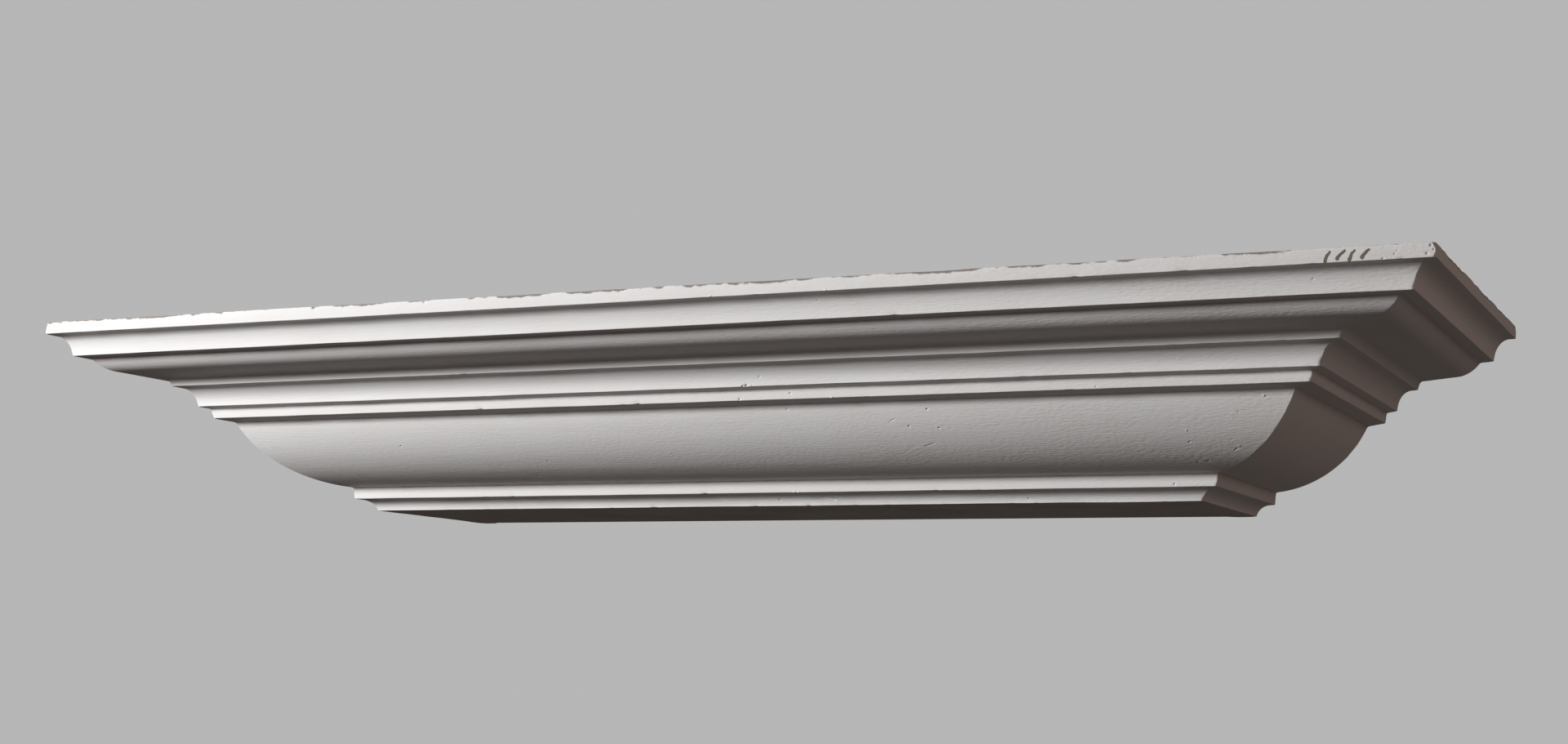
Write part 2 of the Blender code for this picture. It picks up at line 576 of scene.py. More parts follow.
@dataclass
class Wear:
    """What striking, years and rough handling did to the casting, as depths below its true surface.

    Args:
        corners: The corners that are rubbed rounder than the rest.
        blemishes: The nicks, bubbles, lumps and scratches with a place of their own.
        strike_wave: Height of the waves that the striking left along the mouldings.
        strike_layers: The broad, close and lumpy waves that make them up.
        arris_loss: How much of an arris is rubbed away where it is rubbed most.
        arris_reach: How far from an arris its rubbing is felt.
        rubbing: Where the arrises are rubbed more and less.
        wander: How far they wander in and out.
        member_width: How much of the section wears as one member.
        member_shift: How far apart two members read the grains.
        nick_depth: How deep the small nicks along the arrises go.
        nick_reach: How far from an arris a nick is felt.
        nick_range: The grains' values where a nick starts and where it is deepest.
        nick_shift: How far the coarse nicks' grain is moved from the fine ones'.
        coarse_nicks: The longer nicks.
        fine_nicks: The shorter ones.
        top_loss: How much the ragged top edge has lost where it has lost most.
        top_reach: How far from the top's edge that is felt.
        top_bite: How ragged the edge is on the whole.
        top_layers: The long patches, the short ones and the chips.
        most_ragged: The most that these come to.
        end_calm: How much less ragged the front is at both its ends.
        calm_range: From where to where it becomes so, from the middle.
        return_bite: How much more ragged the edge is on the returns.
        return_range: From where to where it becomes so, from the front's middle and on round the mitre.
        edge_curve: How steeply the loss grows towards the top's edge and the foot's.
        foot_wave: How far the lowest edge wanders.
        foot_reach: How far from the foot that is felt.
        foot_swell: The wandering itself.
        foot_breaks: Where the lowest edge is broken.
        foot_range: The grain's values where a break starts and where it is deepest.
        inner_fill: How much plaster is left in the inner corners.
        inner_reach: How far from such a corner.
        wall_loss: How much is gone from the edges where the returns meet the wall.
        wall_reach: How far from the wall.
        wall_grain: Where more of it is gone.
        hollow_radius: How far a mitred corner is rubbed round in the hollows.
        proud_radius: How much further it is rubbed where an arris meets it.
        proud_reach: How far from the arris.
        mitre_share: The usual share of these radii, and the least one.
        mitre_grains: How the left and the right corner differ from that share.
        bubble_count: How many more small air bubbles and pimples are scattered over the front.
        bubble_seed: Picks where they are.
        bubble_heights: The lowest and the highest of them, as shares of the rise.
        bubble_span: The furthest of them from the middle, as a share of the front's half length.
        bubble_reach: Their smallest and their largest radius.
        bubble_depth: Their depth, as a share of the radius.
        pimple_depth: The same for a pimple, which stands proud.
        pimple_every: One in so many is a pimple.
        fine_cuts: Into how many parts the mesh is cut round each blemish.
        fine_margin: How far round a blemish the mesh is cut.
    """

    corners: tuple[WornCorner, ...] = ()
    blemishes: tuple[Blemish, ...] = ()
    strike_wave: float = 0.085 * MM
    strike_layers: tuple[Grain, ...] = (
        Grain(11, 7 * MM, 160 * MM, 0.5),
        Grain(12, 3.4 * MM, 55 * MM, 0.2),
        Grain(13, 9 * MM, 14 * MM, 0.15),
    )
    arris_loss: float = 0.27 * MM
    arris_reach: float = 2.6 * MM
    rubbing: Grain = Grain(21, along=23 * MM, strength=0.5)
    wander: Grain = Grain(24, along=60 * MM, strength=0.12 * MM)
    member_width: float = 5 * MM
    member_shift: float = 3.7
    nick_depth: float = 1.1 * MM
    nick_reach: float = 1.7 * MM
    nick_range: Span = (0.86, 1.36)
    nick_shift: float = 0.4
    coarse_nicks: Grain = Grain(22, along=4.5 * MM)
    fine_nicks: Grain = Grain(23, along=1.9 * MM, strength=0.5)
    top_loss: float = 0.55 * MM
    top_reach: float = 5 * MM
    top_bite: float = 0.36
    top_layers: tuple[Grain, ...] = (
        Grain(31, 31 * MM, strength=0.65),
        Grain(32, 7.5 * MM, strength=0.60),
        Grain(33, 3.1 * MM, strength=0.35),
    )
    most_ragged: float = 0.85
    end_calm: float = 0.5
    calm_range: Span = (200 * MM, 450 * MM)
    return_bite: float = 1.1
    return_range: Span = (500 * MM, 520 * MM)
    edge_curve: float = 1.5
    foot_wave: float = 0.6 * MM
    foot_reach: float = 6 * MM
    foot_swell: Grain = Grain(34, 46 * MM, strength=0.5)
    foot_breaks: Grain = Grain(35, 6 * MM)
    foot_range: Span = (0.45, 0.95)
    inner_fill: float = 0.25 * MM
    inner_reach: float = 1.6 * MM
    wall_loss: float = 0.5 * MM
    wall_reach: float = 1.6 * MM
    wall_grain: Grain = Grain(15, 4 * MM, strength=0.6)
    hollow_radius: float = 0.9 * MM
    proud_radius: float = 1.3 * MM
    proud_reach: float = 2.5 * MM
    mitre_share: Span = (0.8, 0.5)
    mitre_grains: tuple[Grain, Grain] = (
        Grain(41, 2.6 * MM, strength=0.6),
        Grain(42, 2.6 * MM, strength=0.6),
    )
    bubble_count: int = 22
    bubble_seed: int = 7
    bubble_heights: Span = (0.02, 0.98)
    bubble_span: float = 0.97
    bubble_reach: Span = (0.35 * MM, 0.75 * MM)
    bubble_depth: float = 0.9
    pimple_depth: float = -0.5
    pimple_every: int = 4
    fine_cuts: int = 5
    fine_margin: float = 2.2 * MM

    def mitre_radii(self, section: Section, stations: list[Station]) -> np.ndarray:
        """Works out how far the mitred corners are rubbed round at each height.

        Args:
            section: The section that is swept.
            stations: The lines across the mouldings.

        Returns:
            A radius for each section point and station, that of the nearest corner.
        """
        travel = section.travel()
        heights = section.outline()[:, 1]
        usual, least = self.mitre_share
        base = self.hollow_radius + self.proud_radius * section.nearness(Bend.ARRIS, self.proud_reach)
        by_side = {}
        for side, grain in zip((Side.LEFT_RETURN, Side.RIGHT_RETURN), self.mitre_grains):
            radius = base * np.maximum(usual + grain(travel, np.zeros_like(travel)), least)
            for corner in self.corners:
                if corner.side is side:
                    share = fall(np.abs(heights - corner.height), corner.spread)
                    radius = np.maximum(radius, corner.radius * np.sqrt(share))
            by_side[side] = radius
        columns = []
        for station in stations:
            left = station.side is Side.LEFT_RETURN or (station.side is Side.FRONT and station.share < 0.5)
            columns.append(by_side[Side.LEFT_RETURN if left else Side.RIGHT_RETURN])
        return np.stack(columns, axis=1)

    def depths(self, section: Section, places: np.ndarray, sides: np.ndarray) -> np.ndarray:
        """Works out how far below its true surface each point of the sweep lies.

        Args:
            section: The section that is swept.
            places: The true place of each point.
            sides: The side of each station, as one row.

        Returns:
            The depth of each point in metres, negative where plaster stands proud.
        """
        along = section.along(places, sides)
        across = np.broadcast_to(section.travel()[:, None], along.shape)
        depth = self.strike_wave * sum(layer(across, along) for layer in self.strike_layers)
        depth += self._worn_arrises(section, along, across)
        depth += self._ragged_edges(section, along)
        depth -= self.inner_fill * section.nearness(Bend.INNER, self.inner_reach)[:, None]
        from_wall = fall(section.wall_y - places[..., 1], self.wall_reach)
        depth += from_wall * self.wall_loss * (1 + self.wall_grain(across, sides + Grain.MIDDLE))
        return depth

    def _worn_arrises(self, section: Section, along: np.ndarray, across: np.ndarray) -> np.ndarray:
        """Works out the rubbing and the nicks along every arris.

        Args:
            section: The section that is swept.
            along: The distance of each point along the mouldings.
            across: Its distance across them.

        Returns:
            The depth of each point.
        """
        near = section.nearness(Bend.ARRIS, self.arris_reach)[:, None]
        tight = section.nearness(Bend.ARRIS, self.nick_reach)[:, None]
        member = np.round(across / self.member_width) * self.member_shift
        rubbed = self.arris_loss * (0.5 + self.rubbing(member, along)) + self.wander(member, along)
        spots = self.coarse_nicks(member + self.nick_shift, along) + self.fine_nicks(member, along)
        return near * rubbed + tight * self.nick_depth * climb(spots, *self.nick_range)

    def _ragged_edges(self, section: Section, along: np.ndarray) -> np.ndarray:
        """Works out the loss along the broken top edge, and the wandering of the lowest one.

        Args:
            section: The section that is swept.
            along: The distance of each point along the mouldings.

        Returns:
            The depth of each point.
        """
        top = fall(section.from_top(), self.top_reach)[:, None] ** self.edge_curve
        from_foot = np.linalg.norm(section.outline(), axis=1)
        foot = fall(from_foot, self.foot_reach)[:, None] ** self.edge_curve
        breaks = 0.5 * climb(self.foot_breaks.line(along), *self.foot_range)
        foot_loss = self.foot_wave * (0.5 + self.foot_swell.line(along) + breaks)
        return top * self.top_loss * self.raggedness(along) + foot * foot_loss

    def raggedness(self, along: np.ndarray) -> np.ndarray:
        """Says how badly the top edge is broken at each place, in patches.

        Args:
            along: Distances along the mouldings.

        Returns:
            The raggedness of each: 0 between the patches, less towards both ends of the front, and more on
            the returns.
        """
        bites = sum((layer.line(along) for layer in self.top_layers), start=self.top_bite)
        from_middle = np.abs(along)
        share = 1 - self.end_calm * climb(from_middle, *self.calm_range)
        share += self.return_bite * climb(from_middle, *self.return_range)
        return np.clip(bites, 0, self.most_ragged) * share

    def scattered(self, section: Section) -> list[Blemish]:
        """Scatters small air bubbles and pimples over the front.

        Args:
            section: The section that they lie on.

        Returns:
            The blemishes, three bubbles to each pimple.
        """
        draw = np.random.default_rng(self.bubble_seed)
        scattered = []
        for index in range(self.bubble_count):
            height = float(draw.uniform(*self.bubble_heights)) * section.rise
            out = float(np.interp(height, (0, section.rise), (0, section.top_out)))
            share = float(draw.uniform(-self.bubble_span, self.bubble_span))
            reach = float(draw.uniform(*self.bubble_reach))
            depth = reach * (self.bubble_depth if index % self.pimple_every else self.pimple_depth)
            scattered.append(Blemish(share * (section.foot_half + out), height, reach, depth))
        return scattered

    def strike(self, form: bmesh.types.BMesh, section: Section) -> None:
        """Cuts the mesh finer round each blemish and presses the blemish into it.

        Args:
            form: The mesh under construction.
            section: The section that the blemishes lie on.
        """
        blemishes = [*self.blemishes, *self.scattered(section)]
        ends = []
        for blemish in blemishes:
            last_along, last_height = blemish.along + blemish.run[0], blemish.height + blemish.run[1]
            start = section.front_place(blemish.along, blemish.height)
            end = section.front_place(last_along, last_height)
            ends.append((np.array(start), np.array(end)))
        centres = np.array([face.calc_center_median() for face in form.faces])
        near = np.zeros(len(centres), dtype=bool)
        for blemish, (start, end) in zip(blemishes, ends):
            near |= self._gap(centres, start, end) < blemish.reach + self.fine_margin
        faces = [face for face, chosen in zip(form.faces, near) if chosen]
        edges = list(dict.fromkeys(edge for face in faces for edge in face.edges))
        bmesh.ops.subdivide_edges(form, edges=edges, cuts=self.fine_cuts - 1, use_grid_fill=True)
        form.normal_update()
        form.verts.ensure_lookup_table()
        points = np.array([vertex.co for vertex in form.verts])
        for blemish, (start, end) in zip(blemishes, ends):
            share = fall(self._gap(points, start, end), blemish.reach) / (1 - blemish.flat)
            bowl = ease(np.minimum(share, 1.0))
            for index in np.nonzero(share > 0)[0]:
                vertex = form.verts[index]
                vertex.co -= vertex.normal * float(blemish.depth * bowl[index])

    @staticmethod
    def _gap(points: np.ndarray, start: np.ndarray, end: np.ndarray) -> np.ndarray:
        """Works out how far each point is from a line.

        Args:
            points: The points, one a row.
            start: Where the line starts.
            end: Where it ends, which may be where it starts.

        Returns:
            The distance of each point.
        """
        run = end - start
        share = np.clip((points - start) @ run / max(float(run @ run), SAME**2), 0, 1)
        return np.linalg.norm(points - start - share[:, None] * run, axis=1)


class Value:
    """A number that varies over a surface: one socket, with the sums that a shader needs."""

    def __init__(self, bench: "Bench", socket: bpy.types.NodeSocket) -> None:
        """Keeps the socket and the bench that its sums are made on.

        Args:
            bench: Where new nodes go.
            socket: The output that holds the number.
        """
        self.bench = bench
        self.socket = socket

    def __add__(self, other: "Value | float") -> "Value":
        """Adds a number to it."""
        return self.bench.sum("ADD", self, other)

    def __sub__(self, other: "Value | float") -> "Value":
        """Takes a number from it."""
        return self.bench.sum("SUBTRACT", self, other)

    def __rsub__(self, other: float) -> "Value":
        """Takes it from a number."""
        return self.bench.sum("SUBTRACT", other, self)

    def __mul__(self, other: "Value | float") -> "Value":
        """Multiplies it by a number."""
        return self.bench.sum("MULTIPLY", self, other)

    def __gt__(self, other: "Value | float") -> "Value":
        """Gives 1 where it is above a number, else 0."""
        return self.bench.sum("GREATER_THAN", self, other)

    def __pow__(self, other: float) -> "Value":
        """Raises it to a power."""
        return self.bench.sum("POWER", self, other)

    def __abs__(self) -> "Value":
        """Drops its sign."""
        return self.bench.sum("ABSOLUTE", self)

    __radd__ = __add__
    __rmul__ = __mul__

    def lesser(self, other: "Value | float") -> "Value":
        """Gives the lesser of it and another number."""
        return self.bench.sum("MINIMUM", self, other)

    def greater(self, other: "Value | float") -> "Value":
        """Gives the greater of it and another number."""
        return self.bench.sum("MAXIMUM", self, other)

    def clamped(self) -> "Value":
        """Keeps it from 0 to 1."""
        return self.greater(0.0).lesser(1.0)

    def ramp(self, low: float, high: float) -> "Value":
        """Eases it from 0 at one number to 1 at another.

        Args:
            low: Where the result is 0.
            high: Where the result is 1, below low for a falling ramp.

        Returns:
            The eased value.
        """
        inputs = {"Value": self, "From Min": low, "From Max": high}
        node = self.bench.add("ShaderNodeMapRange", {"interpolation_type": "SMOOTHSTEP"}, inputs)
        return Value(self.bench, node.outputs["Result"])


Spot = tuple[Value, Value, Value]


@dataclass(frozen=True)
class Patches:
    """Soft random patches of one size.

    Args:
        along: How long they are on the first axis, which follows the mouldings on a struck face.
        across: How long they are on the other two.
        detail: How many finer layers they hold.
    """

    along: float
    across: float
    detail: float = 3.0


@dataclass(frozen=True)
class Bubbles:
    """Round spots scattered over a finish.

    Args:
        spacing: The distance between places where a spot may be.
        share: How many of the places have one.
        least: The smallest radius.
        most: The largest radius.
    """

    spacing: float
    share: float
    least: float
    most: float


class Bench:
    """The node tree of one finish, and the ways of adding to it."""

    # Noise keeps to the middle of its range, and this spreads it to about -1 to 1
    NOISE_MIDDLE = 0.5
    NOISE_GAIN = 3.2
    # How steep the rim of a spot is
    RIM_POWER = 0.7

    def __init__(self, name: str) -> None:
        """Starts a material with a Principled shader.

        Args:
            name: The material's name.
        """
        self.material = bpy.data.materials.new(name)
        self.material.use_nodes = True
        self.tree = self.material.node_tree
        self.shader = self.tree.nodes["Principled BSDF"]

    def add(
        self, kind: str, settings: dict[str, object], inputs: dict[str | int, object]
    ) -> bpy.types.Node:
        """Adds any node, its settings first and then its inputs.

        Args:
            kind: The node's type.
            settings: Its properties by name.
            inputs: The values or links of its sockets, by name or number.

        Returns:
            The new node.
        """
        node = self.tree.nodes.new(kind)
        for name, setting in settings.items():
            setattr(node, name, setting)
        for name, given in inputs.items():
            self.feed(node.inputs[name], given)
        return node

    def feed(self, socket: bpy.types.NodeSocket, given: object) -> None:
        """Links a socket to what varies, or sets it to what doesn't.

        Args:
            socket: The input to feed.
            given: A value, another node's output, a number or a colour.
        """
        if isinstance(given, Value):
            self.tree.links.new(given.socket, socket)
        elif isinstance(given, bpy.types.NodeSocket):
            self.tree.links.new(given, socket)
        elif isinstance(given, tuple) and socket.type == "RGBA":
            socket.default_value = (*given, 1.0)
        else:
            socket.default_value = given

    def dress(self, colour: object, roughness: Value | float, shine: float) -> None:
        """Gives the shader its finish.

        Args:
            colour: The base colour.
            roughness: How matt it is.
            shine: How strongly it mirrors, the same all over.
        """
        self.feed(self.shader.inputs["Base Color"], colour)
        self.feed(self.shader.inputs["Roughness"], roughness)
        self.shader.inputs["Specular IOR Level"].default_value = shine

    def sum(self, operation: str, *numbers: "Value | float") -> Value:
        """Works out one sum on numbers of which at least one varies."""
        node = self.add("ShaderNodeMath", {"operation": operation}, dict(enumerate(numbers)))
        return Value(self, node.outputs[0])

    def coat(self, ground: object, *coats: tuple[Value, object]) -> bpy.types.NodeSocket:
        """Lays coats of colour over a ground, one after another.

        Args:
            ground: The colour below.
            coats: How much of each coat shows, and its colour.

        Returns:
            The blended colour.
        """
        for share, colour in coats:
            node = self.add("ShaderNodeMix", {"data_type": "RGBA"}, {0: share, 6: ground, 7: colour})
            ground = node.outputs[2]
        return ground

    def place(self) -> Spot:
        """Gives the surface's place in metres, on the cornice's own three axes."""
        coordinates = self.add("ShaderNodeTexCoord", {}, {})
        parts = self.add("ShaderNodeSeparateXYZ", {}, {0: coordinates.outputs["Object"]})
        return tuple(Value(self, output) for output in parts.outputs)

    def mark(self, mark: Mark) -> Value:
        """Reads what the casting's points carry."""
        node = self.add("ShaderNodeAttribute", {"attribute_name": mark.value}, {})
        return Value(self, node.outputs["Fac"])

    def noise(self, patches: Patches, at: Spot) -> Value:
        """Makes soft random patches from about -1 to 1.

        Args:
            patches: Their sizes.
            at: The three coordinates that they lie in.

        Returns:
            The patches' value.
        """
        sizes = (patches.along, patches.across, patches.across)
        scaled = {axis: part * (1 / size) for axis, (part, size) in enumerate(zip(at, sizes))}
        vector = self.add("ShaderNodeCombineXYZ", {}, scaled).outputs[0]
        inputs = {"Vector": vector, "Scale": 1.0, "Detail": patches.detail}
        node = self.add("ShaderNodeTexNoise", {}, inputs)
        return (Value(self, node.outputs[0]) - self.NOISE_MIDDLE) * self.NOISE_GAIN

    def bubbles(self, bubbles: Bubbles, at: Spot) -> Value:
        """Makes scattered round spots.

        Args:
            bubbles: Their sizes and how many there are.
            at: The three coordinates that they lie in.

        Returns:
            1 in the middle of a spot, 0 outside.
        """
        vector = self.add("ShaderNodeCombineXYZ", {}, dict(enumerate(at))).outputs[0]
        cells = self.add("ShaderNodeTexVoronoi", {}, {"Vector": vector, "Scale": 1 / bubbles.spacing})
        draws = self.add("ShaderNodeSeparateColor", {}, {0: cells.outputs["Color"]})
        chosen = Value(self, draws.outputs[0]) > 1 - bubbles.share
        size = Value(self, draws.outputs[1]) * (bubbles.most - bubbles.least) + bubbles.least
        gap = Value(self, cells.outputs["Distance"]) * bubbles.spacing
        return self.sum("DIVIDE", size - gap, size).greater(0.0) ** self.RIM_POWER * chosen

    def raise_surface(self, relief: Value) -> None:
        """Gives the shader a relief in millimetres."""
        bump = self.add("ShaderNodeBump", {}, {"Strength": 1.0, "Distance": MM, "Height": relief})
        self.feed(self.shader.inputs["Normal"], bump.outputs["Normal"])


@dataclass(frozen=True)
class BrushDabs:
    """A row of short slanting dabs of thin brown paint near the right end of the top fillet.

    Args:
        count: How many dabs there are.
        first_from_end: How far the first one is from the fillet's right end.
        spacing: How far they are apart.
        lean: How far each one's top is to the right of its foot.
        width: Half the width of a dab.
        taper: How much narrower it is at its top.
        bow: How far it is bowed.
        below_top: How far their middles are below the top.
        height: Their height.
        lift: How far every other dab is lowered and the rest raised.
        stretch: How much taller or shorter they are in turn, as a share.
        slant: How much less or more they lean in turn, as a share.
        fray: How far the paint's edge wanders.
        frayed: The size of its wandering.
        soft: Half the width over which the paint fades out.
        rim_range: How far in from the edge the thick rim starts, and how far in it is full.
        front_range: How far behind the fillet's face the paint starts to fade, and where it is gone.
        strength: How much the paint covers.
        colour: The paint.
        rim: The paint where it dried thicker, round the edge of each dab.
    """

    count: int = 4
    first_from_end: float = 61 * MM
    spacing: float = 6.8 * MM
    lean: float = 3.4 * MM
    width: float = 1.1 * MM
    taper: float = 0.35 * MM
    bow: float = 1.6 * MM
    below_top: float = 4.9 * MM
    height: float = 4.6 * MM
    lift: float = 0.25 * MM
    stretch: float = 0.08
    slant: float = 0.2
    fray: float = 0.30 * MM
    frayed: Patches = Patches(1.6 * MM, 1.6 * MM, 2.0)
    soft: float = 0.12 * MM
    rim_range: Span = (0.55 * MM, 0.2 * MM)
    front_range: Span = (0.9 * MM, 1.4 * MM)
    strength: float = 0.92
    colour: Colour = (0.165, 0.115, 0.060)
    rim: Colour = (0.060, 0.040, 0.022)

    def paint(self, bench: Bench, ground: object, at: Spot) -> bpy.types.NodeSocket:
        """Paints the dabs over a ground.

        Args:
            bench: The finish that they belong to.
            ground: The colour below.
            at: The surface's place.

        Returns:
            The painted colour.
        """
        low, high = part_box(NODE)
        nearest = None
        for index in range(self.count):
            uneven = (-1) ** index
            height = self.height * (1 + self.stretch * uneven)
            foot_x = high.x - self.first_from_end + index * self.spacing
            foot_z = high.z - self.below_top - uneven * self.lift - height / 2
            lean = self.lean * (1 - self.slant * uneven)
            gap = self._gap(bench, (at[0] - foot_x, at[2] - foot_z), lean, height)
            nearest = gap if nearest is None else nearest.lesser(gap)
        nearest = nearest + bench.noise(self.frayed, at) * self.fray
        fading, gone = self.front_range
        on_fillet = at[1].ramp(low.y + gone, low.y + fading)
        body = nearest.ramp(self.width + self.soft, self.width - self.soft) * on_fillet
        start, full = self.rim_range
        edge = nearest.ramp(self.width - start, self.width - full)
        return bench.coat(ground, (body * self.strength, bench.coat(self.colour, (edge, self.rim))))

    def _gap(self, bench: Bench, from_foot: tuple[Value, Value], lean: float, height: float) -> Value:
        """Works out how far the surface is from the middle line of one dab.

        Args:
            bench: The finish that it belongs to.
            from_foot: How far the surface is to the right of the dab's foot, and above it.
            lean: How far the dab's top is to the right of its foot.
            height: Its height.

        Returns:
            The distance, a little more towards the top, where the dab is narrower.
        """
        right, up = from_foot
        share = ((right * lean + up * height) * (1 / (lean**2 + height**2))).clamped()
        bow = share * (1 - share) * self.bow
        aside, above = right - share * lean + bow, up - share * height
        return bench.sum("SQRT", aside * aside + above * above) + share * self.taper


@dataclass(frozen=True)
class StruckPlaster:
    """Bare white plaster on the mouldings: struck lengthwise, brushed, rubbed and a little dusty, with
    painted shade in its inner corners and pits and a painted highlight along its arrises.

    Args:
        white: The plaster itself.
        warm: The faint warm patches in it.
        shade_and_dust: The darker colour painted into the inner corners and the pits, as painted shade and
            as a dusty deposit.
        crust: The grey-brown crust along the broken top edge.
        rubbed: The paler colour painted along the arrises, a painted highlight that is partly their rubbing
            by handling.
        roughness: How matt it is.
        uneven: How much that varies with the brush marks.
        shine: How strongly it mirrors.
        strike: Height of the long strike lines, in millimetres.
        brush: Height of the brush marks, in millimetres.
        crumb: Height of the crumbs, in millimetres, everywhere and how much more at the broken edge.
        pit: Depth of the pits, in millimetres.
        lines: The size of the strike lines.
        marks: The size of the brush marks.
        tones: The size of the broad patches of tone.
        fine_tones: The size of the finer ones.
        grain: The size of the finest ones.
        crumbs: The size of the crumbs.
        flakes: The size of the crust's flakes.
        pits: The small pits.
        warmth: How warm the plaster is on the whole.
        mottle: How much the tones, the fine ones, the strike lines and the grain add to that.
        tone_range: The tones between which the brush marks grow.
        tone_marks: The brush marks' least share, and how much the tones add to it.
        end_range: The places between which the brush marks grow, from left to right.
        end_marks: Their share at the left end, and how much is added to it at the right end.
        recess_shade_and_dust: How much painted shade and dusty deposit darken the inner corners, and how
            much that varies.
        rub_and_highlight_share: How pale the arrises are painted, as a highlight and as rubbing.
        crust_edge: How much the broken edge and the flakes count for the crust, and where it starts.
        crust_range: How much further it is full.
        crust_share: How much it covers.
        pit_shade_and_dust: How much painted shade and dusty deposit darken the pits.
        return_calm: How much fainter the marks and the crust are on the returns.
        return_shift: How far from the front's the returns' patches are read.
        dabs: The paint near the end of the top fillet.
    """

    white: Colour = (0.795, 0.788, 0.783)
    warm: Colour = (0.715, 0.678, 0.654)
    # Painted shade, partly a dusty deposit: the darker colour of the inner corners and the pits
    shade_and_dust: Colour = (0.560, 0.515, 0.480)
    crust: Colour = (0.215, 0.175, 0.155)
    # Painted highlight, partly rubbing: the paler colour of the arrises
    rubbed: Colour = (0.840, 0.830, 0.820)
    roughness: float = 0.84
    uneven: float = 0.04
    shine: float = 0.32
    strike: float = 0.038
    brush: float = 0.066
    crumb: Span = (0.012, 0.22)
    pit: float = 0.35
    lines: Patches = Patches(24 * MM, 0.6 * MM)
    marks: Patches = Patches(3.8 * MM, 1.3 * MM)
    tones: Patches = Patches(55 * MM, 26 * MM)
    fine_tones: Patches = Patches(9 * MM, 5 * MM)
    grain: Patches = Patches(1.9 * MM, 1.3 * MM, 2.0)
    crumbs: Patches = Patches(1.6 * MM, 1.6 * MM, 4.0)
    flakes: Patches = Patches(6.0 * MM, 2.0 * MM, 4.0)
    pits: Bubbles = Bubbles(15 * MM, 0.22, 0.2 * MM, 0.6 * MM)
    warmth: float = 0.16
    mottle: tuple[float, ...] = (0.16, 0.10, 0.09, 0.14)
    tone_range: Span = (-0.9, 0.9)
    tone_marks: Span = (0.65, 0.7)
    end_range: Span = (-0.45, 0.45)
    end_marks: Span = (0.3, 0.95)
    recess_shade_and_dust: Span = (0.42, 0.25)
    rub_and_highlight_share: float = 0.45
    crust_edge: tuple[float, float, float] = (1.6, 0.30, 0.54)
    crust_range: float = 0.30
    crust_share: float = 0.9
    pit_shade_and_dust: float = 0.5
    return_calm: float = 0.5
    return_shift: float = 3.0
    dabs: BrushDabs = BrushDabs()

    def build(self, section: Section) -> bpy.types.Material:
        """Builds the finish.

        Args:
            section: The section, which says where the mitres are.

        Returns:
            The material.
        """
        bench = Bench("struck_plaster")
        x, y, z = bench.place()
        on_return = (abs(x) + y) > section.mitre_sum
        along = x * (1 - on_return) + (y + self.return_shift) * on_return
        outward = y * (on_return - 1) + abs(x) * on_return
        at = (along, outward, z)
        calm = 1 - on_return * self.return_calm
        lines, marks = bench.noise(self.lines, at), bench.noise(self.marks, at)
        tones, pits = bench.noise(self.tones, at), bench.bubbles(self.pits, at)
        least, added = self.tone_marks
        strong = tones.ramp(*self.tone_range) * added + least
        least, added = self.end_marks
        strong = strong * (x.ramp(*self.end_range) * added + least)
        edge = bench.mark(Mark.BROKEN_EDGE)
        least, added = self.crumb
        crumbs = bench.noise(self.crumbs, at) * (edge * added + least)
        relief = (lines * self.strike + marks * strong * self.brush) * calm
        bench.raise_surface(relief + crumbs - pits * self.pit)
        colour = self._colour(bench, (tones, lines), (pits, edge, calm), at)
        roughness = (marks * self.uneven + self.roughness).lesser(1.0)
        bench.dress(self.dabs.paint(bench, colour, (x, y, z)), roughness, self.shine)
        return bench.material

    def _colour(
        self, bench: Bench, patches: tuple[Value, Value], shares: tuple[Value, Value, Value], at: Spot
    ) -> bpy.types.NodeSocket:
        """Colours the plaster, from the ground up to the painted shade and dusty deposit in its pits.

        Args:
            bench: The finish under construction.
            patches: The broad tones and the strike lines.
            shares: Where the pits are, where the broken edge is, and how calm the surface is.
            at: The coordinates that the patches lie in.

        Returns:
            The colour.
        """
        tones, lines = patches
        pits, edge, calm = shares
        fine = bench.noise(self.fine_tones, at)
        layers = (tones, fine, lines, bench.noise(self.grain, at))
        warmth = sum((layer * share for layer, share in zip(layers, self.mottle)), start=self.warmth)
        # Painted shade with a dusty deposit darkens the inner corners
        least, added = self.recess_shade_and_dust
        recess = (bench.mark(Mark.RECESS) * (fine * added + least)).greater(0.0)
        edge_share, flake_share, start = self.crust_edge
        flaked = edge * edge_share + bench.noise(self.flakes, at) * flake_share - start
        return bench.coat(
            self.white,
            (warmth.clamped(), self.warm),
            (recess, self.shade_and_dust),
            # Painted highlight, with rubbing, pales the arrises
            (bench.mark(Mark.RUBBED) * self.rub_and_highlight_share, self.rubbed),
            (flaked.ramp(0.0, self.crust_range) * calm * self.crust_share, self.crust),
            # Painted shade with a dusty deposit darkens the pits
            (pits * self.pit_shade_and_dust, self.shade_and_dust),
        )


